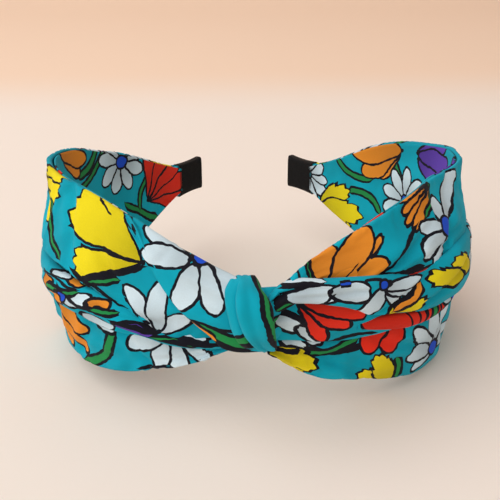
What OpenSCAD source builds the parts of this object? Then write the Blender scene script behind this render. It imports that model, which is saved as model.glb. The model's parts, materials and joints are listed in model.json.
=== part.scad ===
// Knotted cloth headband lying on the lower edges of its cloth.
// X runs across the head, -Y is the knot at the front, the two tips are at +Y, and the floor is Z = 0.
// Every arm is drawn on the +X side along the hoop's path and mirrored for the other side.
// Stations along an arm are shares of its length, from 0 at the knot to 1 at the tip.

/* [Hoop] */
// Radius of the wide arc under the knot
crown_r = 80; // [76:1:84]
// Turn of that arc on each side of the knot, in degrees
crown_turn = 30; // [28:1:31]
// Radius of the tight arc at each temple
temple_r = 47; // [45:1:49]
// Turn of the temple arc, in degrees
temple_turn = 60; // [58:1:61]
// Radius of the arc behind the ear
cheek_r = 62; // [60:1:64]
// Turn of the arc behind the ear, in degrees
cheek_turn = 39; // [37:1:41]
// Length of the straight tail of each arm
tail_len = 47; // [45:1:49]
// Thickness of the springy strip
hoop_t = 1.6; // [1.4:0.1:1.8]
// Height of the strip in front
hoop_h = 14; // [13:0.5:16]
// Height of the strip at the tips
tip_h = 12; // [11:0.5:13]

/* [Cloth] */
// Full height of the cloth at the sides
band_h = 60; // [56:1:62]
// Thickness of the inner lining
lining_t = 0.7; // [0.5:0.1:0.8]
// Swell of the upper and lower panels over the hoop
panel_t = 3.6; // [3:0.1:4]
// How far the folded pleats stand out from the panels' inner face
pleat_out = 7; // [6.5:0.1:7.5]

/* [Knot] */
// Width of the strap that wraps the knot
wrap_w = 10; // [8:0.5:11]
// Height of the knot
knot_h = 19; // [18:0.5:21]
// Depth of the knot, front to back
knot_d = 16; // [14:0.5:17]
// Thickness of the wrapping strap
wrap_t = 2.2; // [1.8:0.1:2.6]
// Lean of the wrap to the left at its top, in degrees
wrap_lean = 12; // [8:1:14]

/* [Tips] */
// Length of the black cap on each tip
cap_len = 12.5; // [11:0.5:14]
// Wall of the cap
cap_wall = 0.6; // [0.5:0.1:0.8]

/* [Flexing] */
// Distance of each arm's flex line from the middle of the knot, along the hoop
flex_at = 16; // [15:0.5:17]

/* [Hidden] */
$fn = 64;

teal = [0.05, 0.55, 0.6];
deep_teal = [0.05, 0.38, 0.42];
leaf_green = [0.15, 0.55, 0.3];
daisy_white = [0.85, 0.9, 0.9];
petal_red = [0.82, 0.18, 0.12];
lining_teal = [0.1, 0.48, 0.52];
hoop_grey = [0.75, 0.75, 0.72];
cap_black = [0.05, 0.05, 0.05];

// The path of an arm: three arcs and a straight tail, first with the knot's hoop point at y = 0
rad = PI / 180;
temple_from = crown_turn;
cheek_from = temple_from + temple_turn;
tail_heading = cheek_from + cheek_turn;
crown_len = crown_r * crown_turn * rad;
temple_len = temple_r * temple_turn * rad;
cheek_len = cheek_r * cheek_turn * rad;
arm_len = crown_len + temple_len + cheek_len + tail_len;
function beside(p, r, a) = p + r * [sin(a), -cos(a)];
crown_mid = [0, crown_r];
temple_start = beside(crown_mid, crown_r, temple_from);
temple_mid = beside(temple_start, -temple_r, temple_from);
cheek_start = beside(temple_mid, temple_r, cheek_from);
cheek_mid = beside(cheek_start, -cheek_r, cheek_from);
tail_start = beside(cheek_mid, cheek_r, tail_heading);
tail_end = tail_start + tail_len * [cos(tail_heading), sin(tail_heading)];

// Gaps: cloth on the hoop, pieces of one body, and the cloth's start past the flex line
rest_gap = 0.35;
fit_gap = 0.1;
cloth_start = flex_at + 2.5;
lining_start = flex_at + 1.4;
cloth_end = arm_len - cap_len - fit_gap;
knot_back = hoop_t / 2 + 2 * fit_gap;
panel_back = hoop_t / 2 + 2 * rest_gap;
lining_back = -hoop_t / 2 - rest_gap - lining_t;
cap_out = panel_back + cap_wall;

// The origin is at the middle of the bottom of the whole object's box
tail_reach = tail_end.y + cap_wall * sin(tail_heading) - cap_out * cos(tail_heading);
crown_y = (tail_reach - knot_back - knot_d) / 2;
mid_z = band_h / 2;
reach_z = band_h / 2;

// Where each stretch of the path begins, and what it is like at length s from the knot
temple_at = crown_len;
cheek_at = temple_at + temple_len;
tail_at = cheek_at + cheek_len;
function heading(s) =
    s < temple_at ? s / crown_r / rad :
    s < cheek_at ? temple_from + (s - temple_at) / temple_r / rad :
    s < tail_at ? cheek_from + (s - cheek_at) / cheek_r / rad : tail_heading;
function on_path(s) =
    s < temple_at ? beside(crown_mid, crown_r, heading(s)) :
    s < cheek_at ? beside(temple_mid, temple_r, heading(s)) :
    s < tail_at ? beside(cheek_mid, cheek_r, heading(s)) :
    tail_start + (s - tail_at) * [cos(tail_heading), sin(tail_heading)];
function place(s, out, z) =
    let (p = beside(on_path(s), out, heading(s))) [p.x, p.y - crown_y, z];

// Edges of the cloth: [share of the arm's length, share of half the band's height from its middle]
top_rise = [
    [0.10, 0.60], [0.17, 0.71], [0.22, 0.81], [0.27, 0.92], [0.32, 0.98], [0.36, 1], [0.55, 1],
    [0.65, 0.88], [0.74, 0.71], [0.82, 0.50], [0.88, 0.32], [0.93, 0.21]
];
left_drop = [
    [0.10, 0.40], [0.15, 0.50], [0.21, 0.63], [0.28, 0.74], [0.33, 0.81], [0.40, 0.93], [0.46, 1],
    [0.59, 1], [0.66, 0.90], [0.72, 0.76], [0.80, 0.50], [0.88, 0.28], [0.93, 0.20]
];
right_drop = [
    [0.10, 0.60], [0.14, 0.67], [0.20, 0.77], [0.25, 0.87], [0.31, 0.95], [0.38, 1], [0.59, 1],
    [0.66, 0.90], [0.72, 0.76], [0.80, 0.50], [0.88, 0.28], [0.93, 0.20]
];
// Folds between the layers, in the same shares; a minus sign is below the middle
left_split = [[0.10, -0.20], [0.15, -0.10], [0.24, 0.16], [0.31, 0.29], [0.50, 0.30], [0.65, 0.20], [0.93, 0.02]];
left_pleat_mid = [[0.10, -0.18], [0.19, -0.08], [0.28, 0.04], [0.36, 0.10], [0.50, 0.10], [0.86, 0]];
right_split = [[0.10, 0.42], [0.20, 0.33], [0.25, 0.28], [0.35, 0.30], [0.50, 0.25], [0.65, 0.15], [0.93, 0.02]];
band_pleat_mid = [[0.10, 0.34], [0.19, 0.21], [0.26, 0.15], [0.50, 0.12], [0.86, 0]];
red_pleat_mid = [[0.10, 0.05], [0.19, -0.13], [0.26, -0.24], [0.34, -0.32], [0.46, -0.36]];
// How far the top and bottom edges lean outwards, in millimetres
top_lean = [
    [0.10, -1], [0.17, -3], [0.25, -4.5], [0.34, -6], [0.39, -5.5], [0.46, -2], [0.51, 0], [0.55, 1],
    [0.62, 1], [0.73, 0], [0.93, 0]
];
bottom_lean = [[0.10, 0], [0.20, 0], [0.30, 0.5], [0.36, -2], [0.44, -4.5], [0.56, -4.5], [0.70, -2], [0.85, 0]];

function share(s) = s / arm_len;
function edge(s, table) = mid_z + reach_z * lookup(share(s), table);
function top_edge(s) = edge(s, top_rise);
function bottom_edge(s, drop) = mid_z - reach_z * lookup(share(s), drop);
// The cloth stands straight for this far above and below its middle, and leans only past it
straight_half = 12;
function past(z, edge_z) =
    let (free = abs(edge_z - mid_z) - straight_half, over = abs(z - mid_z) - straight_half)
    free > 0 && over > 0 ? pow(over / free, 1.6) : 0;
function lean(s, z, drop) = z > mid_z
    ? lookup(share(s), top_lean) * past(z, top_edge(s))
    : lookup(share(s), bottom_lean) * past(z, bottom_edge(s, drop));

// Closed solid through rings that have the same number of points
function centre(ring) = [for (p = ring) 1] * ring / len(ring);
module loft(rings) {
    n = len(rings[0]);
    last = len(rings) - 1;
    first_mid = n * len(rings);
    skin = [for (i = [0:last - 1]) for (j = [0:n - 1]) let (k = (j + 1) % n) each [
        [i * n + j, (i + 1) * n + j, (i + 1) * n + k],
        [i * n + j, (i + 1) * n + k, i * n + k]
    ]];
    ends = [for (j = [0:n - 1]) let (k = (j + 1) % n) each [
        [j, k, first_mid],
        [last * n + k, last * n + j, first_mid + 1]
    ]];
    points = concat([for (ring = rings) each ring], [centre(rings[0]), centre(rings[last])]);
    polyhedron(points, concat(skin, ends), convexity = 8);
}

// Outlines of a layer seen along the arm: [share of its height, share of its swell], inner side first
lining_heights = [0, 0.15, 0.3, 0.7, 0.85, 1];
lining_outline = concat([for (h = lining_heights) [h, 0]], [for (h = lining_heights) [1 - h, 1]]);
upper_outline = [
    [0, 0], [0.35, 0], [0.7, 0], [0.95, 0], [1, 0.2], [0.97, 0.6], [0.82, 0.95], [0.6, 1], [0.35, 0.75],
    [0.15, 0.45], [0, 0.3]
];
lower_outline = [
    [0, 0], [0.05, 0], [0.3, 0], [0.65, 0], [1, 0], [1, 0.3], [0.8, 0.35], [0.62, 0.5], [0.45, 0.9],
    [0.28, 1], [0.12, 0.9], [0.05, 0.6], [0, 0.5]
];
pleat_outline = [
    [0, 0.15], [0.2, 0], [0.5, 0], [0.8, 0], [1, 0.15], [0.98, 0.5], [0.82, 0.86], [0.5, 1], [0.18, 0.86],
    [0.02, 0.5]
];

function layer_ring(s, low, high, back, swell, outline, drop) = [
    for (p = outline)
        let (z = low + (high - low) * p.x)
        place(s, lean(s, z, drop) + back + swell * p.y, z)
];
function stations(from, to, count) = [for (i = [0:count]) from + (to - from) * i / count];
// Cloth is bunched thick beside the knot and thin at the tip
swell_along = [[0.10, 1.5], [0.2, 1.15], [0.32, 1], [0.8, 0.85], [0.93, 0.3]];
pleat_along = [[0.10, 0.4], [0.2, 0.65], [0.33, 1], [0.55, 1], [0.75, 0.6], [0.86, 0.3]];

module lining_panel(drop) color(lining_teal)
    loft([for (s = stations(lining_start, cloth_end, 24))
        layer_ring(s, bottom_edge(s, drop) + fit_gap, top_edge(s) - fit_gap, lining_back, lining_t,
            lining_outline, drop)]);

module upper_wing(split) color(teal)
    loft([for (s = stations(cloth_start, cloth_end, 22))
        layer_ring(s, edge(s, split) + fit_gap, top_edge(s), panel_back,
            panel_t * lookup(share(s), swell_along), upper_outline, left_drop)]);

module lower_wing(split, drop) color(deep_teal)
    loft([for (s = stations(cloth_start, cloth_end, 22))
        layer_ring(s, bottom_edge(s, drop), edge(s, split) - fit_gap, panel_back,
            panel_t * lookup(share(s), swell_along), lower_outline, drop)]);

// A folded pleat lies on the panels, centred on its own line
module pleat(middle, height, back, from, to, count)
    loft([for (s = stations(from, to, count))
        let (half = height / 2 * lookup(share(s), pleat_along), z = edge(s, middle))
        layer_ring(s, z - half, z + half, panel_back + back, pleat_out - back, pleat_outline, left_drop)]);

// Wall of the hoop along one arm, seen from above, past the notch for the flex line
notch_end = flex_at + hoop_t / 4;
function strip_side(along, out) = [for (s = along) let (p = place(s, out, 0)) [p.x, p.y]];
module arm_strip() {
    there = concat(stations(notch_end, tail_at, 48), [arm_len]);
    back = [for (i = [len(there) - 1:-1:0]) there[i]];
    linear_extrude(band_h) polygon(concat(strip_side(there, hoop_t / 2), strip_side(back, -hoop_t / 2)));
}

// Side outline of the strip: full height in front, narrowing behind the temple to the tip
module strip_outline(half_front, half_tip) {
    front = -crown_y - hoop_t;
    narrows = cheek_start.y - crown_y - temple_r / 2;
    narrow = tail_start.y - crown_y;
    end = tail_reach - crown_y;
    translate([0, 0, mid_z]) rotate([90, 0, 90]) linear_extrude(temple_r * 2)
        polygon([
            [front, -half_front], [narrows, -half_front], [narrow, -half_tip], [end, -half_tip],
            [end, half_tip], [narrow, half_tip], [narrows, half_front], [front, half_front]
        ]);
}

// The strip is thinned to a round line where it flexes
module flex_round(r) translate(place(flex_at, 0, 0)) cylinder(r = r, h = band_h);

module hoop_arm() color(hoop_grey) difference() {
    intersection() {
        arm_strip();
        strip_outline(hoop_h / 2, tip_h / 2);
    }
    flex_round(hoop_t / 2 + fit_gap / 2);
}

module hoop_crown() color(hoop_grey) intersection() {
    union() {
        translate([0, crown_r - crown_y]) rotate([0, 0, -90 - heading(flex_at)])
            rotate_extrude(angle = 2 * heading(flex_at))
                translate([crown_r - hoop_t / 2, 0]) square([hoop_t, band_h]);
        flex_round(hoop_t / 2);
        mirror([1, 0, 0]) flex_round(hoop_t / 2);
    }
    translate([-flex_at * 2, -crown_y - flex_at, mid_z - hoop_h / 2])
        cube([flex_at * 4, flex_at * 2, hoop_h]);
}

// The crown's lining wraps the back of the strip and folds over its two edges
module crown_lining() color(lining_teal) {
    turn = heading(flex_at - 1.2);
    back = crown_r + lining_back;
    inner = crown_r - hoop_t / 2 - fit_gap;
    front = crown_r + hoop_t / 2;
    half = hoop_h / 2 + fit_gap;
    translate([0, crown_r - crown_y, mid_z]) rotate([0, 0, -90 - turn]) rotate_extrude(angle = 2 * turn)
        polygon([
            [back, -half - lining_t], [front, -half - lining_t], [front, -half], [inner, -half],
            [inner, half], [front, half], [front, half + lining_t], [back, half + lining_t]
        ]);
}

// Rounded bar along X: a stadium-shaped section of four quarter rounds
module rounded_bar(w, d, h, r) rotate([90, 0, 90]) translate([0, 0, -w / 2]) linear_extrude(w)
    union() {
        square([d - 2 * r, h], center = true);
        square([d, h - 2 * r], center = true);
        for (x = [-1, 1], y = [-1, 1]) translate([x * (d / 2 - r), y * (h / 2 - r)]) circle(r);
    }

// The strap goes right round the knot's strands, leaning at its top
knot_mid = [0, -crown_y - knot_back - knot_d / 2, mid_z + knot_h * 0.2];
knot_round = 6;
module knot_wrap() color(teal) translate(knot_mid) rotate([0, -wrap_lean, 0]) difference() {
    rounded_bar(wrap_w, knot_d, knot_h, knot_round);
    rounded_bar(wrap_w * 2, knot_d - 2 * wrap_t, knot_h - 2 * wrap_t, knot_round - wrap_t);
}

// The strands inside the strap lean with it, then fan out on both sides and lie back on the hoop
core_half = flex_at - 2.2;
core_neck = wrap_w / 2 + knot_h / 2 * tan(wrap_lean);
core_fan = [[0, 1], [0.5, 1], [0.75, 1.6], [1, 2]];
core_thin = [[0, 1], [0.5, 1], [1, 0.85]];
function core_ring(x) =
    let (
        at = abs(x) / core_half,
        h = (knot_h / 2 - wrap_t - rest_gap) * lookup(at, core_fan),
        d = (knot_d / 2 - wrap_t - rest_gap) * lookup(at, core_thin),
        past_neck = max(0, abs(x) - core_neck) / (core_half - core_neck),
        y = knot_mid.y + past_neck * (knot_d / 2 - d),
        z = knot_mid.z + sign(x) * min(abs(x), core_neck) * tan(wrap_lean)
    )
    [for (i = [0:15]) let (a = i * 22.5) [x, y + d * cos(a), z + h * sin(a)]];
module knot_core() color(leaf_green)
    loft([for (i = [-8:8]) core_ring(i / 8 * core_half)]);

// Black cap glued over the hoop's tip, open towards the cloth
module tip_cap() color(cap_black)
    translate(place(arm_len - cap_len, 0, mid_z)) rotate([0, 0, tail_heading]) difference() {
        translate([0, -cap_out, -tip_h / 2 - cap_wall])
            cube([cap_len + cap_wall, cap_out - lining_back + cap_wall, tip_h + 2 * cap_wall]);
        translate([-1, -hoop_t / 2 - fit_gap, -tip_h / 2 - fit_gap])
            cube([cap_len + 1 + fit_gap, hoop_t + 2 * fit_gap, tip_h + 2 * fit_gap]);
    }

module left() mirror([1, 0, 0]) children();

module left_lining_panel() left() lining_panel(left_drop);
module right_lining_panel() lining_panel(right_drop);
module left_upper_wing() left() upper_wing(left_split);
module right_upper_wing() upper_wing(right_split);
module left_lower_wing() left() lower_wing(left_split, left_drop);
module right_lower_wing() lower_wing(right_split, right_drop);
module left_middle_pleat() color(leaf_green) left()
    pleat(left_pleat_mid, band_h * 0.22, panel_t * 0.9, cloth_start, arm_len * 0.86, 18);
module right_band_pleat() color(daisy_white)
    pleat(band_pleat_mid, band_h * 0.23, panel_t * 0.9, cloth_start, arm_len * 0.86, 18);
module right_red_pleat() color(petal_red)
    pleat(red_pleat_mid, band_h * 0.11, panel_t * 1.2, cloth_start, arm_len * 0.46, 10);

hoop_crown();
left() hoop_arm();  // hoop_left_arm
hoop_arm();  // hoop_right_arm
crown_lining();
left_lining_panel();
right_lining_panel();
left_upper_wing();
left_middle_pleat();
left_lower_wing();
right_upper_wing();
right_band_pleat();
right_red_pleat();
right_lower_wing();
knot_core();
knot_wrap();
left() tip_cap();  // left_tip_cap
tip_cap();  // right_tip_cap
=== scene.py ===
"""Knotted headband: gathered printed cotton round a springy hoop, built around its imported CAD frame.

Every sheet of cloth is laid out along the hoop's path. A point on it is (s, z, o) in millimetres: s is the
length along the path from the knot, z the height above the floor and o how far it stands outside the hoop.
A sheet is lofted through rails, the lines that its edges and folds follow from the knot to the tip.
"""
import json
import math
import random

import bpy
import numpy as np
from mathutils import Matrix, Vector, noise

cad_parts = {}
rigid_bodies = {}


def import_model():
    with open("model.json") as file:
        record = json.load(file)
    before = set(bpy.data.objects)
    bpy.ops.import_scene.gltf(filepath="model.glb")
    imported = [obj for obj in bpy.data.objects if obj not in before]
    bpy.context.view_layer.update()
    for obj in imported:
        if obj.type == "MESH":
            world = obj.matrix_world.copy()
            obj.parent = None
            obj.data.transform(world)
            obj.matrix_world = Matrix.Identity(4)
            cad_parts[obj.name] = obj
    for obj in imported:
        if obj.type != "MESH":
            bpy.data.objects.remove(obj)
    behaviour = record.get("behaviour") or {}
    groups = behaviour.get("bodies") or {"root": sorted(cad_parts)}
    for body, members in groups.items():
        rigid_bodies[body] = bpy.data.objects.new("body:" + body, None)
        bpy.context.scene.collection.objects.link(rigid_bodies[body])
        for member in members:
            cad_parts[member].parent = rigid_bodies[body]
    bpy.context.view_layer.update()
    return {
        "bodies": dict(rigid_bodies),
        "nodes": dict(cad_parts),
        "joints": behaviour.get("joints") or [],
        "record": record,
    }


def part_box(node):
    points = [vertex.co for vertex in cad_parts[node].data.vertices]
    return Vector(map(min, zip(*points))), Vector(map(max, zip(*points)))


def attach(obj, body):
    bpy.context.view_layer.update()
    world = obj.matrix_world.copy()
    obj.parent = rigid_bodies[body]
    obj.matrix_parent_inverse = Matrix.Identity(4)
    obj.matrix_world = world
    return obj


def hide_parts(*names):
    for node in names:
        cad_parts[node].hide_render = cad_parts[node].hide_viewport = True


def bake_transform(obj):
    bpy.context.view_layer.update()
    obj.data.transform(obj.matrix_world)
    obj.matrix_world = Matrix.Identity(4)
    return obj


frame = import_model()

link = bpy.context.scene.collection.objects.link

MM = 0.001
LEFT = -1
RIGHT = 1

# The hoop's path, as in the CAD part: arcs of (radius, turn in degrees) from the knot, then a straight tail
ARCS = [(80, 30), (47, 60), (62, 39)]
TAIL = 47
# The hoop's thickness, and the height of its middle line
HOOP_T = 1.6
HOOP_Z = 30
# Half the hoop's height at the lengths where it starts and stops to narrow
HOOP_NARROWS = [66, 133]
HOOP_HALF_HIGH = [7, 6]
FRONT_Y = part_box("hoop_crown")[0].y / MM + HOOP_T / 2
ARC_LENGTHS = [radius * math.radians(turn) for radius, turn in ARCS]
ARM_LENGTH = sum(ARC_LENGTHS) + TAIL
CAP_LENGTH = 12.5
CLOTH_END = ARM_LENGTH - CAP_LENGTH


# ---------- the path and the lofted sheets ----------

def path_at(along):
    """Points (x, y) and outward directions at lengths along one arm, on the +X side."""
    along = np.abs(np.asarray(along, float))
    x, y, heading = 0.0, FRONT_Y, 0.0
    spot = np.zeros(along.shape + (2,))
    facing = np.zeros(along.shape)
    start = 0.0
    for (radius, turn), length in zip(ARCS, ARC_LENGTHS):
        here = along >= start
        angle = heading + np.minimum(along - start, length) / radius
        mid = (x - radius * math.sin(heading), y + radius * math.cos(heading))
        arc = np.stack([mid[0] + radius * np.sin(angle), mid[1] - radius * np.cos(angle)], -1)
        spot[here] = arc[here]
        facing[here] = angle[here]
        heading += math.radians(turn)
        x = mid[0] + radius * math.sin(heading)
        y = mid[1] - radius * math.cos(heading)
        start += length
    tail = along >= start
    forward = np.array([math.cos(heading), math.sin(heading)])
    spot[tail] = np.array([x, y]) + (along[tail] - start)[:, None] * forward
    facing[tail] = heading
    return spot, np.stack([np.sin(facing), -np.cos(facing)], -1)


def place(side, sheet):
    """Points in the frame, in metres, of (s, z, o) points in millimetres. A negative s is past the middle."""
    spot, outward = path_at(sheet[..., 0])
    flat = spot + outward * sheet[..., 2:3]
    across = np.where(sheet[..., 0] < 0, -side, side)
    return np.stack([flat[..., 0] * across, flat[..., 1], sheet[..., 1]], -1) * MM


def smooth(knots, values, at):
    """Values at `at` on a smooth curve through the values at the knots."""
    slope = np.gradient(values, knots, axis=0)
    k = np.clip(np.searchsorted(knots, at, side="right") - 1, 0, len(knots) - 2)
    shape = (-1,) + (1,) * (values.ndim - 1)
    gap = (knots[k + 1] - knots[k]).reshape(shape)
    t = (at - knots[k]).reshape(shape) / gap
    start = (1 + 2 * t) * (1 - t) ** 2 * values[k] + t * (1 - t) ** 2 * gap * slope[k]
    end = t * t * (3 - 2 * t) * values[k + 1] + t * t * (t - 1) * gap * slope[k + 1]
    return start + end


def lengths(points):
    """Distance of each point from the first along the line through them."""
    steps = np.linalg.norm(np.diff(points, axis=0), axis=-1)
    return np.concatenate([[0], np.cumsum(steps)])


def loft(rails, spacing=0.9, hidden=(0, 0)):
    """Grid of (s, z, o) points through rails, with its first axis along them, and how far each column is
    turned under. The first hidden[0] rails and the last hidden[1] are those of turned edges."""
    rails = [np.array(rail, float) for rail in rails]
    longest = max(lengths(rail)[-1] for rail in rails)
    shares = np.linspace(0, 1, int(longest / spacing) + 2)
    lines = []
    for rail in rails:
        run = lengths(rail)
        lines.append(smooth(run, rail, shares * run[-1]))
    lines = np.stack(lines)
    widths = np.linalg.norm(np.diff(lines, axis=0), axis=-1)
    knots = np.concatenate([[0], np.cumsum(np.maximum(widths.mean(axis=1), 0.3))])
    across = np.linspace(0, knots[-1], int(max(knots[-1], widths.sum(axis=0).max()) / spacing) + 2)
    past = np.maximum(knots[hidden[0]] - across, across - knots[-1 - hidden[1]])
    return smooth(knots, lines, across).transpose(1, 0, 2), np.maximum(0, past)


def shifted(rail, s=0.0, z=0.0, o=0.0):
    """The same rail moved by s, z and o."""
    return [(a + s, b + z, c + o) for a, b, c in rail]


def turned(rails, top=(), bottom=()):
    """Rails with the cloth turned under at its first edge, its last edge or both: (z, o) of each turn."""
    over = [shifted(rails[0], z=z, o=o) for z, o in reversed(top)]
    under = [shifted(rails[-1], z=z, o=o) for z, o in bottom]
    return over + rails + under


# ---------- small folds ----------

def ripple(sheet, seed, height, length, from_s=0.0, count=5):
    """Gathers that fan out from a bunched end at from_s and fade over a length, as heights in millimetres."""
    rng = random.Random(seed)
    rows, columns, _ = sheet.shape
    v = np.linspace(0, 1, columns)[None, :]
    s = sheet[..., 0]
    fade = np.exp(-np.abs(s - from_s) / length)
    folds = np.zeros((rows, columns))
    for k in range(3):
        phase = rng.uniform(0, 6.28)
        drift = rng.uniform(-0.9, 0.9)
        waves = count * (0.7 + 0.45 * k)
        folds += np.cos(2 * math.pi * waves * v + phase + drift * s * 0.05) / (1 + k)
    return height * fade * folds


def crease(sheet, s0, z0, s1, z1, depth, width):
    """A valley between two points (s, z), with a soft ridge on either side of it."""
    along = np.array([s1 - s0, z1 - z0], float)
    length = np.linalg.norm(along)
    along /= length
    there = sheet[..., :2] - [s0, z0]
    run = there @ along
    past = np.maximum(0, np.maximum(-run, run - length))
    off = there @ [-along[1], along[0]]
    apart = (off / width) ** 2
    return -depth * (1 - 0.8 * apart) * np.exp(-apart) * np.exp(-(past / (2 * width)) ** 2)


def unevenness(sheet, seed, height, along=22.0, across=7.0):
    """Slow waves in slack cloth, longer along the arm than across it."""
    offset = seed * 17.3
    out = np.zeros(sheet.shape[:2])
    for i, row in enumerate(sheet):
        for j, (s, z, o) in enumerate(row):
            out[i, j] = noise.noise(Vector((s / along + offset, (z + o) / across, offset * 0.5)))
    return height * out


def edge_fade(columns, margin=0.08):
    """1 in the middle of the sheet and 0 at its two long edges."""
    v = np.linspace(0, 1, columns)
    t = np.clip(np.minimum(v, 1 - v) / margin, 0, 1)
    return (t * t * (3 - 2 * t))[None, :]


# ---------- meshes ----------

def lengths_across(points):
    """Distance along each row of the sheet from its first column."""
    steps = np.linalg.norm(np.diff(points, axis=1), axis=-1)
    return np.concatenate([np.zeros((len(points), 1)), np.cumsum(steps, axis=1)], axis=1)


def cloth_coordinates(sheet, level):
    """Each point's place on the print, in millimetres: along the arm, and up the cloth from row `level`."""
    run = lengths_across(sheet[..., 1:])
    column = int(round(level * (sheet.shape[1] - 1)))
    up = sheet[:, column:column + 1, 1] - (run - run[:, column:column + 1])
    return np.stack([sheet[..., 0], up], -1)


def strap_coordinates(sheet):
    """Each point's place on a strap's print, in millimetres: across from its middle line, and along it."""
    run = lengths_across(sheet)
    middle = sheet.shape[1] // 2
    along = lengths(sheet[:, middle])
    return np.stack([run - run[:, middle:middle + 1], np.broadcast_to(along[:, None], run.shape)], -1)


def read(items, key, width=1, kind=float):
    """A property of every item of a mesh."""
    values = np.empty(len(items) * width, kind)
    items.foreach_get(key, values)
    return values


def grid_mesh(name, points, prints, flip):
    """A mesh of quads through a grid of points, with the print's coordinates as its UV map."""
    rows, columns, _ = points.shape
    index = np.arange(rows * columns).reshape(rows, columns)
    quads = np.stack([index[:-1, :-1], index[1:, :-1], index[1:, 1:], index[:-1, 1:]], -1).reshape(-1, 4)
    if flip:
        quads = quads[:, ::-1]
    mesh = bpy.data.meshes.new(name)
    mesh.from_pydata(points.reshape(-1, 3).tolist(), [], quads.tolist())
    mesh.polygons.foreach_set("use_smooth", [True] * len(mesh.polygons))
    corners = read(mesh.loops, "vertex_index", kind=int)
    layer = mesh.uv_layers.new(name="cloth")
    layer.data.foreach_set("uv", prints.reshape(-1, 2)[corners].astype(np.float32).ravel())
    piece = bpy.data.objects.new(name, mesh)
    link(piece)
    return piece


def apply_modifiers(piece):
    """Bakes the piece's modifiers into its mesh."""
    bpy.context.view_layer.update()
    seen = piece.evaluated_get(bpy.context.evaluated_depsgraph_get())
    done = bpy.data.meshes.new_from_object(seen)
    piece.modifiers.clear()
    piece.data = done
    return piece


def settle(piece, rows, columns, growth, frames=16, reach=0.9, outwards=0.25):
    """Lets a sheet buckle as cloth between its held edges: it grows a little, then is kept near where it was
    laid, within `reach` millimetres of it and `outwards` on its outer side."""
    # The cloth is simulated larger than life, where the solver's steps are fine enough
    scale = 20
    mesh = piece.data
    rest = read(mesh.vertices, "co", 3)
    mesh.vertices.foreach_set("co", rest * scale)
    mesh.update()
    # It is held over so many rows at the knot, at the tip, where it lies tight on the hoop, and at its sides
    knot_rows, tip_rows, side_rows = 8, 40, 5
    least_hold = 0.04
    from_end = np.minimum(np.arange(rows) / knot_rows, np.arange(rows)[::-1] / tip_rows)[:, None]
    from_side = np.minimum(np.arange(columns), np.arange(columns)[::-1])[None, :] / side_rows
    held = np.clip(1 - np.minimum(from_end, from_side), least_hold, 1)
    group = piece.vertex_groups.new(name="held")
    for number, weight in enumerate(held.ravel().tolist()):
        group.add([number], weight, "REPLACE")
    cloth = piece.modifiers.new("cloth", "CLOTH")
    for key, value in dict(
            quality=5, mass=0.2, tension_stiffness=20, compression_stiffness=20, shear_stiffness=8,
            bending_stiffness=0.4, air_damping=2, shrink_min=-growth, vertex_group_mass="held",
            pin_stiffness=2).items():
        setattr(cloth.settings, key, value)
    cloth.settings.effector_weights.gravity = 0.3
    cloth.collision_settings.use_collision = False
    cloth.point_cache.frame_end = frames
    for frame in range(1, frames + 1):
        bpy.context.scene.frame_set(frame)
    seen = piece.evaluated_get(bpy.context.evaluated_depsgraph_get())
    shift = (read(seen.data.vertices, "co", 3) / scale - rest).reshape(-1, 3)
    normals = read(mesh.vertices, "normal", 3).reshape(-1, 3)
    rise = (shift * normals).sum(1, keepdims=True)
    shift -= normals * np.maximum(0, rise - outwards * MM)
    far = np.linalg.norm(shift, axis=1, keepdims=True)
    shift *= reach * MM / np.maximum(far, reach * MM)
    piece.modifiers.clear()
    piece.vertex_groups.clear()
    bpy.context.scene.frame_set(1)
    mesh.vertices.foreach_set("co", rest + shift.ravel())
    mesh.update()
    return piece


def thicken(piece, thickness=0.5):
    """Gives a sheet of cloth its thickness, inwards from its outer face."""
    solid = piece.modifiers.new("cloth", "SOLIDIFY")
    solid.thickness = thickness * MM
    solid.offset = -1
    return apply_modifiers(piece)


# ---------- the cloth, laid out by its rails ----------

# Rails that two sheets share, or that the lining's edges follow
LEFT_TOP = [
    (12, 42.6, 0), (22, 46, -2.5), (32, 50.4, -4.3), (40, 54, -5.3), (51, 57, -5.8), (61, 58.8, -4.8),
    (68, 59.8, -3), (82, 60.4, 0.3), (92, 60.8, 2.2), (100, 60.4, 1.8), (113, 57.6, 0.4),
    (125, 53.4, -0.5), (133, 50.8, -0.5), (148, 44.4, -0.5), (158, 39.6, -0.5), (168, 35.6, 0)
]
LEFT_FOLD = [
    (12, 24.5, 4.5), (19, 24.6, 5.5), (27, 26.5, 6), (33, 30.2, 6), (43, 34.4, 6), (55, 38, 6.2),
    (64, 39.3, 6.2), (80, 39, 5.2), (95, 37.5, 3.8), (115, 35, 3.5), (135, 33, 2.4), (150, 31.5, 1.5),
    (168, 29.5, 0.8)
]
LEFT_BOTTOM = [
    (9, 24, 0), (20, 19, 0), (27, 16, 0), (38, 12, 0), (51, 9, 0), (59, 8, 0), (71, 5.2, 0), (82, 2.4, -2.6),
    (90, 1.5, -3.6), (98, 1.4, -3.8), (106, 2.2, -3.2), (115, 4.2, -2), (125, 7.4, -1), (137, 12.4, -1),
    (147, 17.4, -1), (158, 22, -0.6), (168, 25.2, 0)
]
RIGHT_BOTTOM = [
    (9, 15, 0), (16, 12.4, 0), (24.6, 10.2, 0), (36, 7, 0), (44, 5, 0), (53, 3.8, 0), (62, 2.6, 0),
    (72, 1.6, -1), (84, 1.3, -3), (95, 1.3, -3.4), (106, 2.2, -2.8), (118, 5.2, -2), (130, 9.6, -1.2),
    (143, 15, -1), (152, 18.2, -0.8), (160, 21.4, -0.5), (168, 24.8, 0)
]
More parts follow.
